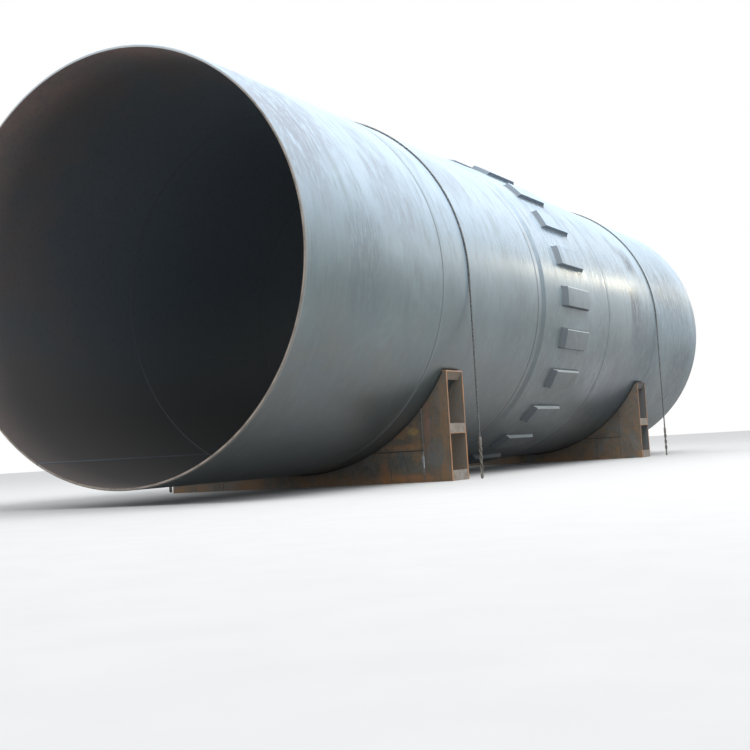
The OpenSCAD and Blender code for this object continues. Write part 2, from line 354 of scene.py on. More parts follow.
def streaks_and_clouds(m, colour, up, streak, mottle):
    """Bright rolling streaks, darker clouds and fine scratches."""
    fine = m.noise(1.0, 3.0, 0.65, m.scaled(110.0, 2.6, 2.6, (0.06, 0.0, 0.0)))
    wavy = m.noise(1.0, 5.0, 0.65, m.scaled(11.0, 2.6, 2.6), 0.9)
    bright = m.times(m.blend(m.ramp(up, -0.4, 0.1), 0.08, 0.2), m.blend(m.ramp(up, 0.2, 0.7), 1.0, 0.4))
    colour = m.mix(m.times(m.ramp(streak, 0.45, 0.75), bright), colour, (0.34, 0.4, 0.43))
    cloud = m.noise(1.0, 5.0, 0.6, m.scaled(7.0, 1.6, 1.6), 0.5)
    cloud_tone = m.mix(m.ramp(up, 0.2, 0.7), (0.23, 0.3, 0.31), (0.31, 0.37, 0.44))
    colour = m.mix(m.times(m.ramp(cloud, 0.48, 0.66), m.ramp(up, -0.3, 0.4), 0.5), colour, cloud_tone)
    colour = m.mix(m.times(m.ramp(wavy, 0.5, 0.72), 0.28), colour, (0.15, 0.18, 0.195))
    scratch = m.times(m.ramp(fine, 0.52, 0.7), m.ramp(wavy, 0.4, 0.6))
    scratch = m.times(scratch, m.blend(m.ramp(up, 0.2, 0.8), 0.45, 0.25))
    colour = m.mix(scratch, colour, (0.085, 0.1, 0.105))
    return m.mix(m.times(m.ramp(mottle, 0.55, 0.8), 0.2), colour, (0.15, 0.16, 0.16))


def blotches(m, colour, up, down):
    """Pale and dark blotches on the sides, weaker on the front course, and a paler rear underside."""
    rear = m.times(m.ramp(m.x, SEAM_4 - 1.0, SEAM_4 + 0.4), m.ramp(down, 0.2, 0.5))
    colour = m.mix(m.times(rear, 0.42), colour, (0.36, 0.42, 0.44))
    blotch = m.noise(1.0, 5.0, 0.7, m.scaled(10.0, 6.0, 6.0, (0.4, 0.0, 0.0)), 0.6)
    sides = m.times(m.flip(m.ramp(up, 0.25, 0.6)), m.blend(m.ramp(m.x, SEAM_1, SEAM_3), 0.3, 1.0))
    colour = m.mix(m.times(m.ramp(blotch, 0.5, 0.62), sides, 0.2), colour, (0.3, 0.37, 0.4))
    return m.mix(m.times(m.ramp(m.flip(blotch), 0.52, 0.64), sides, 0.3), colour, (0.08, 0.1, 0.11))


def mill_scale(m, radius, low=(0.108, 0.17, 0.185), high=(0.165, 0.24, 0.262)):
    """Colour of blue grey mill scale with dusty and dirty patches and painted light and shade, and the two
    noises that roughness and bump use too.
    """
    streak = m.noise(1.0, 4.0, 0.6, m.scaled(30.0, 0.9, 0.9))
    patch = m.noise(0.6, 4.0, 0.55, distort=0.5)
    mottle = m.noise(7.0, 5.0, 0.6)
    up = m.up(radius)
    down = m.times(up, -1.0)
    colour = m.mix(m.ramp(patch, 0.35, 0.68), low, high)
    colour = dust_dirt_and_painted_light(m, colour, up, down, patch)
    colour = streaks_and_clouds(m, colour, up, streak, mottle)
    return blotches(m, colour, up, down), streak, mottle


# Shell plate, outside and inside
def shell_seams(m, colour, up, streak):
    """The tyre course's front land bright from grinding and a painted highlight, painted shade on its front
    taper, and dark lines of painted shade.
    """
    # land bright from grinding, with a painted highlight that fades towards the bottom
    ground_and_highlight = m.times(m.near(m.x, SEAM_2 + TAPER_LAND / 2, 0.03, 0.015), m.ramp(up, -0.2, 0.42))
    colour = m.mix(m.times(ground_and_highlight, 0.42), colour, (0.74, 0.8, 0.86))
    # painted shade on the front taper, deeper low down
    taper = m.near(m.x, SEAM_2 + TAPER_LAND + TAPER / 2, 0.038, 0.006)
    taper = m.times(taper, m.blend(m.ramp(up, 0.1, 0.7), 0.38, 0.12))
    colour = m.mix(taper, colour, (0.13, 0.17, 0.19))
    for at, depth, low, high, least in TOE_SHADE_LINES:
        band = m.times(m.near(m.x, at, 0.03, 0.05), m.ramp(streak, 0.4, 0.7), depth * 0.5)
        colour = m.mix(band, colour, (0.3, 0.34, 0.36))
        # painted shade: a thin dark line in the toe beside each weld and at the rear taper's edge
        line = m.times(m.near(m.x, at - 0.015, 0.004, 0.004), depth)
        line = m.times(line, m.blend(m.ramp(up, low, high), least, 1.0))
        colour = m.mix(line, colour, (0.03, 0.033, 0.035))
    return colour


def shell_marks(m, colour, up, angle):
    """Scuffs, a painted shadow line over the saddle tips, and fine scratches and sky light on the rear
    courses.
    """
    brush = m.noise(1.0, 5.0, 0.7, m.scaled(26.0, 5.0, 5.0, (0.25, 0.0, 0.0)), 0.5)
    for at, half, deg, span, depth, tone in SCUFFS:
        spot = m.times(m.near(m.x, FRONT_RIM + at, half * 0.5, half), m.near(angle, deg, span * 0.5, span))
        colour = m.mix(m.times(spot, m.ramp(brush, 0.38, 0.54), depth), colour, tone)
    # painted shadow: a dark line on the shell just over the saddle tips
    tip_shadow = m.most(m.near(m.x, FRONT_SADDLE_X, 0.2, 0.02), m.near(m.x, REAR_SADDLE_X, 0.2, 0.02))
    tip_shadow = m.times(tip_shadow, m.near(m.z, TIP_Z + 0.012, 0.008, 0.006))
    colour = m.mix(m.times(tip_shadow, 0.85), colour, (0.02, 0.025, 0.03))
    rear = m.ramp(m.x, SEAM_3 - 0.8, SEAM_3 + 1.0)
    lines = m.noise(1.0, 4.0, 0.7, m.scaled(46.0, 1.7, 1.7, (0.0, 0.04, 0.0)), 0.4)
    lines = m.times(rear, m.ramp(lines, 0.48, 0.64), m.ramp(up, -0.6, 0.0))
    lines = m.times(lines, m.blend(m.ramp(up, 0.3, 0.6), 1.0, 0.6))
    colour = m.mix(m.times(lines, 0.45), colour, (0.13, 0.18, 0.22))
    sky = m.times(m.ramp(m.x, SEAM_3 + 0.2, SEAM_4 + 0.2), m.ramp(up, 0.25, 0.6))
    return m.mix(m.times(sky, 0.42), colour, (0.68, 0.85, 1.0))


def shell_bevels(m, colour, up):
    """Dusty bevels at both ends of the shell."""
    bevel = m.most(m.near(m.x, FRONT_RIM, 0.014, 0.02), m.near(m.x, REAR_RIM, 0.014, 0.02))
    bevel = m.times(bevel, m.flip(m.ramp(up, 0.2, 0.6)))
    return m.mix(m.times(bevel, 0.5), colour, (0.42, 0.39, 0.35))


def shell_inside(m, up):
    """Inner face: blue grey with painted light on its upper part far in, browner with rust towards the
    front under painted light near the open end, darker and greyer towards the bottom.
    """
    rust = m.noise(1.2, 5.0, 0.6)
    grain = m.noise(24.0, 4.0, 0.7)
    rusty = m.ramp(rust, 0.4, 0.6)
    deep = m.ramp(m.x, FRONT_RIM + 0.4, FRONT_RIM + 3.0)
    inside = m.mix(deep, m.mix(rusty, (0.16, 0.175, 0.19), (0.195, 0.175, 0.175)), (0.19, 0.25, 0.3))
    # painted light: the upper part of the far bore is paler
    inside = m.mix(m.times(m.ramp(up, 0.15, 0.7), deep, 0.3), inside, (0.4, 0.47, 0.54))
    # darker and greyer towards the bottom
    dull = m.flip(m.ramp(up, -0.3, 0.3))
    inside = m.mix(m.times(dull, 0.4), inside, (0.12, 0.12, 0.12))
    floor = m.ramp(m.minus(AXIS_Z - 0.3, m.z), 0.0, 1.1)
    inside = m.mix(m.times(floor, 0.85), inside, (0.1, 0.094, 0.09))
    # painted light: a pool of light near the open end, tinted by the rust
    mouth_light = m.flip(m.ramp(m.x, FRONT_RIM - 0.3, FRONT_RIM + 0.7))
    mouth_light = m.times(mouth_light, m.blend(rusty, 0.7, 1.0), m.blend(m.ramp(up, -0.7, 0.1), 0.2, 0.95))
    inside = m.mix(mouth_light, inside, (0.68, 0.49, 0.44))
    return m.mix(m.times(m.ramp(grain, 0.5, 0.7), 0.3), inside, (0.09, 0.1, 0.11))


def shell_roughness(m, up, angle, streak, bare):
    """Smoother along the long highlight, duller at the rear, and matt on top, inside and at the rims."""
    rough = m.blend(m.ramp(streak, 0.3, 0.8), 0.31, 0.4)
    gloss = m.times(m.near(angle, GLOSS_ANGLE, 8, 14), m.ramp(m.x, SEAM_1, SEAM_2), 0.08)
    rough = m.minus(rough, gloss)
    rough = m.plus(rough, m.times(m.ramp(m.x, SEAM_3 + 0.9, SEAM_4 + 0.3), 0.14))
    bars = m.noise(1.0, 3.0, 0.6, m.scaled(17.0, 3.0, 3.0, (0.2, 0.0, 0.0)), 0.3)
    broken = m.times(m.near(angle, GLOSS_ANGLE, 12, 14), m.ramp(m.x, SEAM_2, SEAM_3))
    rough = m.plus(rough, m.times(broken, m.ramp(bars, 0.46, 0.6), 0.07))
    matt = m.times(m.ramp(up, 0.5, 0.85), 0.8)
    return m.blend(m.most(bare, matt), rough, 0.75)


def shell_material():
    """Rolled shell plate: mill scale outside, dark and rusty inside, bare rims."""
    m = Mat("shell_plate_scale")
    radius = m.radius()
    angle = m.angle()
    up = m.up(SHELL_R)
    outside, streak, mottle = mill_scale(m, radius)
    outside = shell_seams(m, outside, up, streak)
    outside = shell_marks(m, outside, up, angle)
    outside = shell_bevels(m, outside, up)
    is_in = m.below(radius, BORE_R)
    colour = m.mix(is_in, outside, shell_inside(m, up))
    # the rims are tan, and paler at the top with a dusty film and painted light
    rims = m.most(m.below(m.x, FRONT_RIM + 0.001), m.above(m.x, REAR_RIM - 0.001))
    rim = m.mix(m.ramp(m.noise(9.0, 4.0, 0.6), 0.4, 0.65), (0.5, 0.42, 0.35), (0.3, 0.25, 0.21))
    rim = m.mix(m.times(m.ramp(up, 0.6, 0.92), 0.9), rim, (0.78, 0.86, 0.9))
    colour = m.mix(rims, colour, rim)
    m.bump(m.plus(m.times(streak, 0.1), m.times(mottle, 0.3)), 0.15, 0.004)
    return m.finish(colour, shell_roughness(m, up, angle, streak, m.most(is_in, rims)), ior=1.7)


# Long weld beads of the shell
def lay_ripples(m, phase):
    """Bump of a weld bead, with one ripple for each turn of phase."""
    m.bump(m.plus(m.times(m.math("SINE", phase), 0.5), m.noise(90.0, 2.0, 0.5)), 0.5, 0.0015)


def girth_weld_material():
    """Bead with ripples round the shell, and the mill scale's colour blown over it."""
    m = Mat("weld_bead")
    radius = m.radius()
    colour = mill_scale(m, radius, (0.1, 0.125, 0.13), (0.16, 0.185, 0.19))[0]
    bead = m.noise(40.0, 3.0, 0.5)
    colour = m.mix(m.times(m.ramp(bead, 0.5, 0.7), 0.5), colour, (0.24, 0.25, 0.25))
    # all but the second weld stand out less from the plate
    faint = m.most(m.ramp(m.x, SEAM_3 - 0.4, SEAM_3 - 0.1), m.below(m.x, SEAM_1 + 0.3))
    colour = m.mix(m.times(faint, 0.55), colour, (0.2, 0.25, 0.27))
    is_in = m.below(radius, BORE_R)
    colour = m.mix(is_in, colour, m.mix(bead, (0.16, 0.18, 0.2), (0.27, 0.28, 0.29)))
    lay_ripples(m, m.times(m.angle(), math.radians(1) * SHELL_R * 2 * math.pi / RIPPLE))
    return m.finish(colour, m.blend(is_in, 0.5, 0.75), ior=1.6)


def lengthwise_weld_material():
    """Bead with ripples along the shell."""
    m = Mat("lengthwise_bead")
    radius = m.radius()
    colour = mill_scale(m, radius, (0.11, 0.135, 0.145), (0.17, 0.2, 0.21))[0]
    bead = m.noise(40.0, 3.0, 0.5)
    is_in = m.below(radius, BORE_R)
    rust = m.mix(m.ramp(m.noise(1.6, 5.0, 0.6), 0.4, 0.66), (0.17, 0.2, 0.23), (0.2, 0.215, 0.23))
    colour = m.mix(is_in, m.mix(m.times(bead, 0.4), colour, (0.25, 0.26, 0.26)), rust)
    lay_ripples(m, m.times(m.x, 2 * math.pi / RIPPLE))
    return m.finish(colour, m.blend(is_in, 0.5, 0.75), ior=1.6)


# Tyre pads
def pad_edges():
    """Lower and upper edge angle of each tyre pad, read from the corner points at its foot."""
    at_foot = 0.0015
    between_pads = 5
    mesh = nodes["tyre_pads"].data
    angles = sorted({round(math.degrees(math.atan2(v.co.z - AXIS_Z, -v.co.y)), 2) for v in mesh.vertices
                     if abs(math.hypot(v.co.y, v.co.z - AXIS_Z) - TYRE_R) < at_foot})
    runs = [[angles[0]]]
    for a in angles[1:]:
        if a - runs[-1][-1] > between_pads:
            runs.append([a])
        else:
            runs[-1].append(a)
    # one pad crosses the place where the angle turns over from 180 to -180
    if runs[0][0] + 360 - runs[-1][-1] < between_pads:
        runs[-1] += [a + 360 for a in runs.pop(0)]
    return [(run[0], run[-1]) for run in runs]


def pad_sides(m, drag):
    """Flame cut sides: blue grey with drag lines, painted light where they face up, painted shade on the
    other faces of the high pads, darkest where these face down.
    """
    cut = m.mix(m.ramp(drag, 0.4, 0.7), (0.11, 0.135, 0.16), (0.17, 0.195, 0.22))
    facing = m.tree.nodes.new("ShaderNodeNewGeometry")
    parts = m.split(facing.outputs["Normal"])
    face_x = parts[0]
    face_z = parts[2]
    along = m.ramp(m.absolute(face_x), 0.15, 0.3)
    # painted light: faces that look up are painted near white
    upward_light = m.times(m.ramp(face_z, 0.25, 0.75), m.flip(along))
    cut = m.mix(m.times(upward_light, 0.95), cut, (0.82, 0.9, 0.92))
    # painted shade: on the high pads, faces that do not look up are painted dark
    high = m.ramp(m.up(TYRE_R), 0.3, 0.7)
    cut = m.mix(m.times(high, m.flip(upward_light), 0.85), cut, (0.045, 0.07, 0.1))
    # painted shade: faces of the high pads that look down are darkest
    down = m.ramp(m.times(face_z, -1.0), 0.2, 0.6)
    return m.mix(m.times(high, down, 0.75), cut, (0.02, 0.03, 0.045))


def lit_upper_edges(m, side):
    """1 on the upper edge of each pad's outer face at the sides of the shell, and 0 elsewhere."""
    edges = pad_edges()
    lower, upper = edges[2]
    pitch = edges[3][0] - lower
    full_turns = 720.0
    near_turn = m.math("FRACT", m.over(m.plus(m.angle(), full_turns - upper), pitch))
    far_turn = m.math("FRACT", m.over(m.minus(full_turns + lower, m.angle()), pitch))
    turn = m.blend(m.below(m.y, 0.0), far_turn, near_turn)
    level = m.near(m.up(TYRE_R), -0.35, 0.4, 0.15)
    return m.times(m.ramp(turn, 0.97, 0.98), m.flip(side), level)


def pad_material():
    """Tyre pad: mill scale on the outer face, flame cut sides with painted light and shade, and a painted
    highlight along some upper edges.
    """
    m = Mat("pad_plate_scale")
    radius = m.radius()
    colour, streak, mottle = mill_scale(m, radius, (0.14, 0.18, 0.19), (0.2, 0.24, 0.25))
    side = m.flip(m.ramp(radius, PAD_R - 0.004, PAD_R - 0.001))
    drag = m.noise(1.0, 2.0, 0.5, m.scaled(160.0, 160.0, 160.0))
    colour = m.mix(m.times(side, 0.85), colour, pad_sides(m, drag))
    # painted highlight along the upper edge of the pads at the sides
    colour = m.mix(m.times(lit_upper_edges(m, side), 0.8), colour, (0.82, 0.9, 0.92))
    m.bump(m.plus(mottle, m.times(side, drag)), 0.25, 0.003)
    return m.finish(colour, m.blend(side, m.blend(streak, 0.36, 0.5), 0.62), ior=1.65)


# Saddle plates
def rust_layers(m, dark, light, spot, scale, broad, small, blots):
    """Brown rust in runs, spots and grains, with scale left in patches."""
    runs = m.noise(1.0, 4.0, 0.6, m.scaled(9.0, 9.0, 1.6))
    left = m.noise(3.6, 4.0, 0.6, distort=0.6)
    red = m.noise(30.0, 3.0, 0.7)
    green = m.noise(1.0, 3.0, 0.7, m.scaled(27.0, 23.0, 19.0, (0.0, 0.7, 0.3)))
    colour = m.mix(m.ramp(broad, 0.38, 0.64), dark, light)
    colour = m.mix(m.times(m.ramp(left, 0.5, 0.6), 0.75), colour, scale)
    colour = m.mix(m.times(m.ramp(runs, 0.5, 0.7), 0.6), colour, spot)
    colour = m.mix(m.times(m.ramp(blots, 0.58, 0.68), 0.55), colour, (0.42, 0.25, 0.11))
    colour = m.mix(m.times(m.ramp(small, 0.5, 0.75), 0.45), colour, (0.1, 0.085, 0.07))
    colour = m.mix(m.times(m.ramp(red, 0.5, 0.64), 0.5), colour, (0.36, 0.2, 0.13))
    return m.mix(m.times(m.ramp(green, 0.5, 0.64), 0.45), colour, (0.16, 0.19, 0.155))


def front_stains(m, colour, blots):
    """The stains of the front saddle's front web, near side, with wandering and broken outlines."""
    between_webs = FRONT_RIM + 3.1
    wander = m.times(m.minus(blots, 0.5), 0.25)
    ours = m.times(m.below(m.x, between_webs), m.below(m.y, 0.0))
    broken = m.noise(1.0, 4.0, 0.7, m.scaled(26.0, 26.0, 12.0))
    broken = m.blend(m.ramp(broken, 0.38, 0.62), 0.35, 1.0)
    for at_y, at_z, half_y, half_z, tone, depth in STAINS:
        dy = m.over(m.minus(m.y, at_y), half_y)
        dz = m.over(m.minus(m.z, at_z), half_z)
        inside = m.flip(m.ramp(m.plus(m.length(dy, dz), m.times(wander, 6.0)), 0.5, 1.5))
        colour = m.mix(m.times(inside, ours, broken, depth), colour, tone)
    return colour


def plate_edges(m, colour, edge, is_front, is_rear):
    """Flame cut outer edges and tips."""
    cut = m.mix(m.ramp(m.noise(5.0, 4.0, 0.6), 0.35, 0.65), (0.52, 0.26, 0.12), (0.31, 0.2, 0.14))
    top = m.ramp(m.z, TIP_Z - 0.003, TIP_Z - 0.001)
    colour = m.mix(m.most(edge, top), colour, cut)
    dark_lip = m.times(m.ramp(m.z, TIP_Z - 0.024, TIP_Z - 0.016), is_rear)
    colour = m.mix(m.times(dark_lip, 0.85), colour, (0.06, 0.075, 0.08))
    pale_lip = m.times(m.ramp(m.z, TIP_Z - 0.013, TIP_Z - 0.008), is_front)
    return m.mix(m.times(pale_lip, 0.8), colour, (0.62, 0.44, 0.33))


def rust_material(name, dark, light, spot, scale=(0.22, 0.235, 0.235)):
    """Saddle plate: brown rust with blue grey scale left in patches, and orange flame cut edges."""
    m = Mat(name)
    broad = m.noise(1.9, 5.0, 0.62, distort=0.4)
    small = m.noise(16.0, 5.0, 0.65)
    blots = m.noise(6.0, 4.0, 0.6, distort=0.8)
    is_front = m.below(m.x, 0.0)
    is_rear = m.above(m.x, 0.0)
    colour = rust_layers(m, dark, light, spot, scale, broad, small, blots)
    colour = front_stains(m, colour, blots)
    # rust gathers low down, where rain splashes
    low = m.times(m.flip(m.ramp(m.z, 0.02, 0.2)), m.ramp(broad, 0.4, 0.6))
    colour = m.mix(m.times(low, 0.6), colour, (0.4, 0.22, 0.1))
    # painted shade: a dark line on the web along its arc where it meets the shell
    rim = m.flip(m.ramp(m.radius(), SHELL_R + 0.009, SHELL_R + 0.02))
    colour = m.mix(m.times(rim, 0.9), colour, (0.03, 0.034, 0.038))
    # the faces between the two webs are dusty in front, and darker with painted shade in the rear saddle
    middle = m.near(m.absolute(m.minus(m.x, FRONT_SADDLE_X)), 0.0, WEB_GAP / 2, 0.002)
    middle = m.most(middle, m.near(m.absolute(m.minus(m.x, REAR_SADDLE_X)), 0.0, WEB_GAP / 2, 0.002))
    colour = m.mix(m.times(middle, 0.3, is_front), colour, (0.42, 0.38, 0.33))
    colour = m.mix(m.times(middle, 0.6, is_rear), colour, (0.13, 0.165, 0.19))
    edge = m.ramp(m.absolute(m.y), SADDLE_HALF - 0.0025, SADDLE_HALF - 0.001)
    colour = plate_edges(m, colour, edge, is_front, is_rear)
    drag = m.noise(1.0, 2.0, 0.5, m.scaled(20.0, 20.0, 260.0))
    m.bump(m.plus(m.times(small, 0.7), m.times(edge, drag)), 0.4, 0.003)
    return m.finish(colour, m.blend(small, 0.6, 0.85))


def dusty_material():
    """Pale dusty plate of the lower battens."""
    m = Mat("dusty_plate")
    small = m.noise(14.0, 5.0, 0.65)
    colour = m.mix(m.ramp(small, 0.35, 0.7), (0.36, 0.32, 0.28), (0.25, 0.21, 0.175))
    colour = m.mix(m.times(m.ramp(m.noise(5.0, 4.0, 0.6), 0.5, 0.7), 0.6), colour, (0.45, 0.43, 0.4))
    runs = m.noise(1.0, 3.0, 0.6, m.scaled(30.0, 10.0, 3.0))
    colour = m.mix(m.times(m.ramp(runs, 0.55, 0.75), 0.5), colour, (0.4, 0.28, 0.18))
    # flame cut lower edge of the middle battens
    low = m.near(m.z, MIDDLE_Z + 0.002, 0.003, 0.005)
    colour = m.mix(m.times(low, 0.8), colour, (0.5, 0.27, 0.13))
    m.bump(small, 0.3, 0.003)
    return m.finish(colour, 0.8)


# Ropes, sleeves and short beads
def rope_material(name, groove, crown, bright):
    """Wire rope between two tones, with fine wires in a brighter one."""
    m = Mat(name)
    small = m.noise(60.0, 3.0, 0.6)
    wires = m.noise(1.0, 2.0, 0.5, m.scaled(420.0, 420.0, 60.0))
    colour = m.mix(m.ramp(small, 0.35, 0.7), groove, crown)
    colour = m.mix(m.times(m.ramp(wires, 0.5, 0.75), 0.4), colour, bright)
    m.bump(wires, 0.4, 0.001)
    return m.finish(colour, 0.55, metal=0.2)


def sleeve_material():
    m = Mat("pressed_sleeve")
    small = m.noise(35.0, 4.0, 0.6)
    colour = m.mix(m.ramp(small, 0.35, 0.7), (0.26, 0.24, 0.22), (0.16, 0.14, 0.12))
    m.bump(small, 0.4, 0.002)
    return m.finish(colour, m.blend(small, 0.5, 0.7), metal=0.3)


def fillet_material():
    """Fillet welds round the tyre pads, paler on the upper half of the shell with a dusty film and painted
    light.
    """
    m = Mat("fillet_bead")
    small = m.noise(45.0, 3.0, 0.6)
    colour = m.mix(m.ramp(small, 0.35, 0.7), (0.085, 0.1, 0.105), (0.17, 0.19, 0.195))
    # paler on top: a dusty film, and painted light from above
    colour = m.mix(m.times(m.ramp(m.up(SHELL_R), -0.1, 0.62), 0.7), colour, (0.46, 0.54, 0.6))
    m.bump(m.noise(160.0, 2.0, 0.5), 0.4, 0.001)
    return m.finish(colour, 0.55, ior=1.6)


def saddle_bead_material():
    """Beads in the saddles: dull, with pale slag low down on the front saddle's upright joints."""
    m = Mat("saddle_bead")
    small = m.noise(25.0, 3.0, 0.6)
    colour = m.mix(m.ramp(small, 0.4, 0.65), (0.12, 0.1, 0.085), (0.22, 0.2, 0.18))
    upright = m.near(m.absolute(m.y), JOINT_Y, 0.012, 0.004)
    colour = m.mix(m.times(upright, 0.3), colour, (0.3, 0.32, 0.34))
    slag = m.times(upright, m.near(m.z, 0.2, 0.06, 0.08), m.ramp(m.noise(14.0, 3.0, 0.6), 0.42, 0.55))
    colour = m.mix(m.times(slag, m.below(m.x, 0.0)), colour, (0.7, 0.74, 0.76))
    level = m.near(m.z, JOINT_Z, 0.008, 0.004)
    colour = m.mix(m.times(level, 0.85), colour, (0.07, 0.066, 0.06))
    m.bump(m.noise(160.0, 2.0, 0.5), 0.4, 0.001)
    return m.finish(colour, 0.6)


shell = shell_material()
girth_weld = girth_weld_material()
lengthwise_weld = lengthwise_weld_material()
pads = pad_material()
rust_web = rust_material("rusted_web", (0.19, 0.17, 0.14), (0.27, 0.225, 0.175), (0.36, 0.22, 0.12))
rust_plate = rust_material("rusted_plate", (0.17, 0.155, 0.13), (0.24, 0.205, 0.165), (0.33, 0.21, 0.12))
brown = rust_material("brown_batten", (0.27, 0.21, 0.15), (0.34, 0.265, 0.2), (0.4, 0.27, 0.17),
                      (0.32, 0.27, 0.22))
dusty = dusty_material()
oiled_rope = rope_material("oiled_rope", (0.085, 0.087, 0.087), (0.28, 0.29, 0.285), (0.45, 0.46, 0.45))
dry_rope = rope_material("dry_rope", (0.14, 0.13, 0.11), (0.36, 0.34, 0.29), (0.5, 0.48, 0.42))
sleeve = sleeve_material()
fillet = fillet_material()
saddle_bead = saddle_bead_material()

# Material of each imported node, by the end of its name
LOOKS = (
    ("_course", shell),
    ("_girth_weld", girth_weld),
    ("_lengthwise_weld", lengthwise_weld),
    ("tyre_pads", pads),
    (("outer_webs", "toe_plates"), rust_web),
    ("top_battens", brown),
    (("upper_webs", "keel_plates", "keel_spacers"), rust_plate),
    (("middle_battens", "bottom_battens"), dusty),
    (("lashing_rope", "lashing_eyes"), oiled_rope))


def dress_nodes():
    for name, obj in nodes.items():
        material = next(look for ending, look in LOOKS if name.endswith(ending))
        obj.data.materials.clear()
        obj.data.materials.append(material)
        for p in obj.data.polygons:
            p.material_index = 0


# Mesh helpers
def finish_mesh(bm, name, material):
    bmesh.ops.recalc_face_normals(bm, faces=bm.faces)
    mesh = bpy.data.meshes.new(name)
    bm.to_mesh(mesh)
    bm.free()
    for p in mesh.polygons:
        p.use_smooth = True
    mesh.materials.append(material)
    obj = bpy.data.objects.new(name, mesh)
    scene.collection.objects.link(obj)
    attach(obj, "root")
    return obj


def skin(bm, rings):
    """Joins rings of points with quads and closes both ends."""
    rows = [[bm.verts.new(p) for p in ring] for ring in rings]
    count = len(rows[0])
    for a, b in zip(rows, rows[1:]):
        for i in range(count):
            j = (i + 1) % count
            bm.faces.new((a[i], a[j], b[j], b[i]))
    bm.faces.new(rows[0][::-1])
    bm.faces.new(rows[-1])


def resample(points, step):
    """Points about step apart along a polyline."""
    out = [points[0].copy()]
    left = step
    for a, b in zip(points, points[1:]):
        d = (b - a).length
        at = 0.0
        while d - at >= left:
            at += left
            out.append(a.lerp(b, at / d))
            left = step
        left -= d - at
    out.append(points[-1].copy())
    return out


# Wire ropes
def lay_section(radius, twist):
    """Outline of a rope of six laid strands, as points in its own plane."""
    strands = 6
    steps = 24
    out = []
    strand_r = radius / 3
    centre_r = radius - strand_r
    for i in range(steps):
        a = 2 * math.pi * i / steps
        d = (a % (2 * math.pi / strands)) - math.pi / strands
        bulge = math.sqrt(max(strand_r * strand_r - (centre_r * math.sin(d)) ** 2, 0))
        rho = centre_r * math.cos(d) + bulge
        out.append((rho * math.cos(a + twist), rho * math.sin(a + twist)))
    return out


def rope_along(bm, points, radius, lay, side):
    """Skins a laid rope along closely spaced points; side is a direction that it never runs along."""
    rings = []
    run = 0.0
    for i, p in enumerate(points):
        a = points[max(i - 1, 0)]
        b = points[min(i + 1, len(points) - 1)]
        if i:
            run += (p - points[i - 1]).length
        ahead = (b - a).normalized()
        n = (side - ahead * side.dot(ahead)).normalized()
        s = ahead.cross(n)
        rings.append([p + n * u + s * v for u, v in lay_section(radius, 2 * math.pi * run / lay)])
    skin(bm, rings)


def over_shell(x, bend, low):
    """Route of a lashing: up the near side, over the shell and down the far side."""
    path = [Vector((x, -bend, low)), Vector((x, -bend, AXIS_Z))]
    for k in range(1, 180):
        a = math.radians(k)
        path.append(Vector((x, -bend * math.cos(a), AXIS_Z + bend * math.sin(a))))
    path += [Vector((x, bend, AXIS_Z)), Vector((x, bend, low))]
    return resample(path, ROPE_STEP)


def eye_route(x, y, r, eye, foot):
    """Two legs that twist round each other and open into a small eye at the bottom."""
    steps = 69
    start = foot + 0.01
    leg = []
    for k in range(steps + 1):
        t = k / steps
        z = start - t * (start - r - eye)
        grow = max(0.0, (t - 0.72) / 0.28)
        grow = grow * grow * (3 - 2 * grow)
        off = r * 0.98 * (1 - grow) + eye * grow
        a = math.pi * 3 * min(t / 0.8, 1.0)
        leg.append((off * math.cos(a), off * math.sin(a), z))
    down = [Vector((x + a, y + b, c)) for a, b, c in leg]
    up = [Vector((x - a, y - b, c)) for a, b, c in reversed(leg)]
    sign = 1 if leg[-1][0] > 0 else -1
    turn = []
    for k in range(10, 180, 10):
        a = math.radians(k)
        turn.append(Vector((x + sign * eye * math.cos(a), y, r + eye - eye * math.sin(a))))
    return resample(down + turn + up, EYE_STEP)


def sleeve_rings(x, y, r, foot, top):
    """Rings of a pressed sleeve with rounded ends and three press marks."""
    steps = 36
    turns = [2 * math.pi * j / 28 for j in range(28)]
    rings = []
    for k in range(steps + 1):
        t = k / steps
        end = min(t, 1 - t)
        rad = r * 2.15 * (0.62 + 0.38 * min(1.0, math.sqrt(max(0.0, 1 - (1 - min(end / 0.14, 1)) ** 2))))
        if 0.18 < t < 0.82:
            rad -= r * 0.16 * max(0.0, math.cos((t - 0.5) * math.pi * 6))
        z = foot + t * (top - foot)
        rings.append([Vector((x + rad * math.cos(b), y + rad * 0.8 * math.sin(b), z)) for b in turns])
    return rings


def make_lashing(which):
    """Six strand wire rope over the shell, ending on each side in a sleeve and a twisted eye."""
    low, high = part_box(which + "_lashing_rope")
    x = (low.x + high.x) / 2
    r = (high.x - low.x) / 2
    bend = high.y - r
    bm = bmesh.new()
    rope_along(bm, over_shell(x, bend, low.z), r, ROPE_LAY, Vector((1, 0, 0)))
    rope = finish_mesh(bm, which + "_laid_rope", oiled_rope)
    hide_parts(which + "_lashing_rope")

    eye_low, eye_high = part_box(which + "_lashing_eyes")
    eye = (eye_high.x - eye_low.x) / 2 - r * 1.1
    top = eye_high.z
    foot = low.z - (top - low.z)
    bm = bmesh.new()
    bs = bmesh.new()
    for sy in (-1, 1):
        y = sy * bend
        rope_along(bm, eye_route(x, y, r, eye, foot), r * 0.96, EYE_LAY, Vector((0.02, 1, 0.01)))
        skin(bs, sleeve_rings(x, y, r, foot, top))
    eyes = finish_mesh(bm, which + "_rope_eyes", dry_rope)
    finish_mesh(bs, which + "_rope_sleeves", sleeve)
    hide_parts(which + "_lashing_eyes")


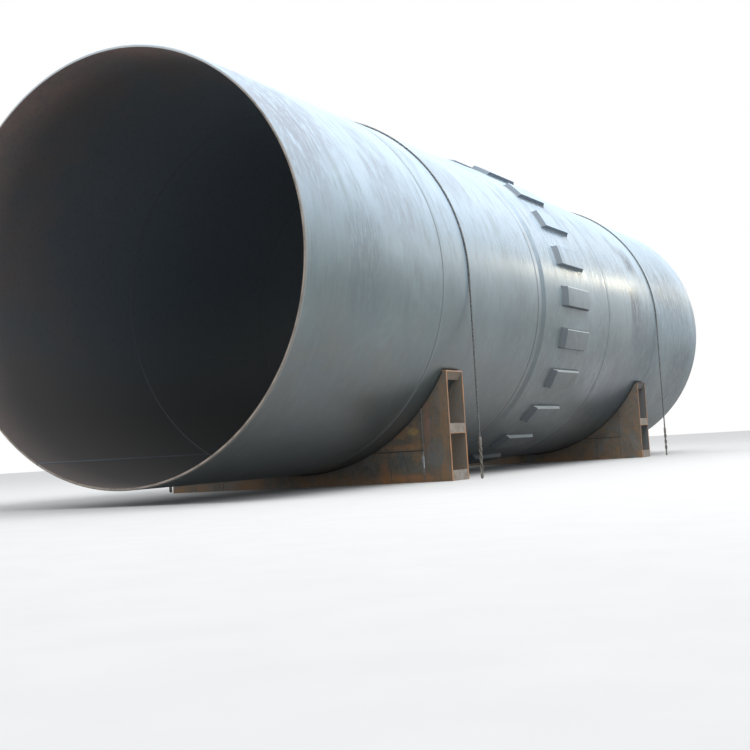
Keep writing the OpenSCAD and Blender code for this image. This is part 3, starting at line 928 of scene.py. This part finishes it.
# Weld beads as meshes
def corner_bead(bm, path, side_a, side_b, leg):
    """Bead along path, filling the corner whose two faces run off along side_a and side_b."""
    rings = []
    for i, p in enumerate(path):
        a = side_a(i)
        b = side_b(i)
        w = leg * (0.86 + 0.14 * math.cos(math.pi * i) + random.uniform(-0.05, 0.05))
        deep = leg * 0.15
        rings.append([p - (a + b) * deep, p + a * w - b * deep, p + a * w + b * w * 0.12,
                      p + (a + b) * w * 0.6, p + b * w + a * w * 0.12, p + b * w - a * deep])
    skin(bm, rings)


def flat_bead(bm, a, b, normal, width, height):
    """Rippled bead on a flat face from a to b."""
    step = 0.008
    length = (b - a).length
    n = max(3, int(length / step))
    ahead = (b - a).normalized()
    side = ahead.cross(normal).normalized()
    rings = []
    for i in range(n + 1):
        t = i / n
        p = a + (b - a) * t
        wave = 0.85 + 0.15 * math.cos(math.pi * i) + random.uniform(-0.08, 0.08)
        end = min(1.0, 0.35 + 4 * min(t, 1 - t) * length / (width * 2))
        w = width * 0.5 * (0.92 + 0.08 * wave) * end
        h = height * wave * end
        p = p + side * random.uniform(-0.04, 0.04) * width
        rings.append([p - side * w - normal * 0.001, p - side * w * 0.6 + normal * h * 0.72, p + normal * h,
                      p + side * w * 0.6 + normal * h * 0.72, p + side * w - normal * 0.001])
    skin(bm, rings)


def make_pad_fillets():
    """Fillet welds all round each tyre pad."""
    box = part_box("tyre_pads")
    xa, xb = box[0].x, box[1].x
    bm = bmesh.new()

    def out(deg):
        a = math.radians(deg)
        return Vector((0, -math.cos(a), math.sin(a)))

    def along(deg):
        a = math.radians(deg)
        return Vector((0, math.sin(a), math.cos(a)))

    def at(x, deg):
        a = math.radians(deg)
        return Vector((x, -TYRE_R * math.cos(a), AXIS_Z + TYRE_R * math.sin(a)))

    for lo, hi in pad_edges():
        steps = int((xb - xa) / FILLET_STEP)
        for deg, sign in ((lo, -1), (hi, 1)):
            path = [at(xa + (xb - xa) * i / steps, deg) for i in range(steps + 1)]
            corner_bead(bm, path, lambda i, d=deg, s=sign: along(d) * s, lambda i, d=deg: out(d),
                        FILLET_LEG)
        steps = int(math.radians(hi - lo) * TYRE_R / FILLET_STEP)
        for x, sign in ((xa, -1), (xb, 1)):
            angles = [lo + (hi - lo) * i / steps for i in range(steps + 1)]
            path = [at(x, d) for d in angles]
            # the ends of a pad are sloped, so the bead leans over them
            lean = Vector((-sign * 0.8, 0, 0))
            corner_bead(bm, path, lambda i, s=sign: Vector((s, 0, 0)),
                        lambda i, g=angles, n=lean: (out(g[i]) * 0.6 + n), FILLET_LEG * 0.9)
    finish_mesh(bm, "tyre_pad_fillet_welds", fillet)


def make_saddle_beads(which):
    """Butt welds over the joints of the webs, and the welds that hold the battens."""
    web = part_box(which + "_saddle_outer_webs")
    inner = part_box(which + "_saddle_middle_battens")
    xa, xb = web[0].x, web[1].x
    ia, ib = inner[0].x, inner[1].x
    under_shell = AXIS_Z - math.sqrt(SHELL_R * SHELL_R - JOINT_Y * JOINT_Y)
    start = math.sqrt(SHELL_R * SHELL_R - (AXIS_Z - JOINT_Z) ** 2) + 0.015
    foot = 0.012
    bm = bmesh.new()
    for face, n in ((xa, -1), (ia, 1), (ib, -1), (xb, 1)):
        normal = Vector((n, 0, 0))
        for sy in (-1, 1):
            joint = sy * JOINT_Y
            toe = sy * TOE_Y
            flat_bead(bm, Vector((face, joint, foot)), Vector((face, joint, under_shell - 0.012)),
                      normal, *JOINT_BEAD)
            flat_bead(bm, Vector((face, sy * start, JOINT_Z)), Vector((face, joint - sy * 0.01, JOINT_Z)),
                      normal, *SMALL_BEAD)
            flat_bead(bm, Vector((face, toe, foot)), Vector((face, toe, JOINT_Z - 0.01)),
                      normal, *SMALL_BEAD)
    # beads down both ends of each batten, in the corners of the webs behind it
    for part in ("middle_battens", "bottom_battens"):
        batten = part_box(which + "_saddle_" + part)
        za, zb = batten[0].z + 0.01, batten[1].z - 0.01
        count = max(4, int((zb - za) / 0.006))
        for x, n in ((ia, 1), (ib, -1)):
            for sy in (-1, 1):
                y = sy * (SADDLE_HALF - 0.021)
                path = [Vector((x, y, za + (zb - za) * i / count)) for i in range(count + 1)]
                corner_bead(bm, path, lambda i, s=n: Vector((s, 0, 0)), lambda i, s=sy: Vector((0, -s, 0)),
                            BATTEN_LEG)
    finish_mesh(bm, which + "_saddle_weld_beads", saddle_bead)


# Floor, world and lamps
def seen_directly(tree):
    """1 for rays from the camera, a reflection or a transmission, and 0 for those that only light."""
    path = tree.nodes.new("ShaderNodeLightPath")
    first = tree.nodes.new("ShaderNodeMath")
    first.operation = "MAXIMUM"
    tree.links.new(path.outputs["Is Camera Ray"], first.inputs[0])
    tree.links.new(path.outputs["Is Glossy Ray"], first.inputs[1])
    both = tree.nodes.new("ShaderNodeMath")
    both.operation = "MAXIMUM"
    tree.links.new(first.outputs[0], both.inputs[0])
    tree.links.new(path.outputs["Is Transmission Ray"], both.inputs[1])
    return both.outputs[0]


def make_floor():
    """Pale floor that throws little light back up."""
    bpy.ops.mesh.primitive_plane_add(size=160, location=(0, 0, -0.001))
    floor = bpy.context.object
    floor.name = "floor"
    m = Mat("pale_floor")
    pale = m.mix(m.noise(3.0, 4.0, 0.5), (0.62, 0.62, 0.62), (0.68, 0.68, 0.68))
    floor.data.materials.append(m.finish(m.mix(seen_directly(m.tree), (0.17, 0.17, 0.17), pale), 0.9))


def make_world():
    """Soft sky that lights the part, and plain white where it is seen."""
    world = bpy.data.worlds.new("soft_sky")
    scene.world = world
    world.use_nodes = True
    tree = world.node_tree
    tree.nodes.clear()
    out = tree.nodes.new("ShaderNodeOutputWorld")
    coordinates = tree.nodes.new("ShaderNodeTexCoord")
    parts = tree.nodes.new("ShaderNodeSeparateXYZ")
    tree.links.new(coordinates.outputs["Generated"], parts.inputs[0])
    ramp = tree.nodes.new("ShaderNodeValToRGB")
    ramp.color_ramp.elements[0].position = 0.0
    ramp.color_ramp.elements[0].color = (0.5, 0.52, 0.54, 1)
    ramp.color_ramp.elements[1].position = 0.8
    ramp.color_ramp.elements[1].color = (0.96, 0.98, 1.0, 1)
    tree.links.new(parts.outputs[2], ramp.inputs[0])
    sky = tree.nodes.new("ShaderNodeBackground")
    tree.links.new(ramp.outputs[0], sky.inputs[0])
    sky.inputs[1].default_value = 1.15
    white = tree.nodes.new("ShaderNodeBackground")
    white.inputs[0].default_value = (1, 1, 1, 1)
    white.inputs[1].default_value = 1.0
    mix = tree.nodes.new("ShaderNodeMixShader")
    tree.links.new(seen_directly(tree), mix.inputs[0])
    tree.links.new(sky.outputs[0], mix.inputs[1])
    tree.links.new(white.outputs[0], mix.inputs[2])
    tree.links.new(mix.outputs[0], out.inputs[0])


def aim(light, at, target):
    obj = bpy.data.objects.new(light.name, light)
    scene.collection.objects.link(obj)
    way = target - at
    obj.matrix_world = Matrix.Translation(at) @ way.to_track_quat("-Z", "Y").to_matrix().to_4x4()


def make_lamps():
    top = bpy.data.lights.new("top_light", "AREA")
    top.shape = "DISK"
    top.size = 11.0
    top.energy = 2300
    aim(top, Vector((-3.0, -7.0, 17.0)), Vector((0, 0, 2)))

    # low warm panel beyond the rear end: its gloss lies along the shell a little above mid height
    glow = bpy.data.lights.new("low_glow", "AREA")
    glow.shape = "RECTANGLE"
    glow.size = 10.0
    glow.size_y = 2.8
    glow.color = (1.0, 0.89, 0.62)
    glow.energy = 640
    aim(glow, Vector((59.6, -15.0, 15.6)), Vector((1.0, -2.0, 2.5)))


make_camera()
dress_nodes()
for which in ("front", "rear"):
    make_lashing(which)
    make_saddle_beads(which)
make_pad_fillets()
make_floor()
make_world()
make_lamps()
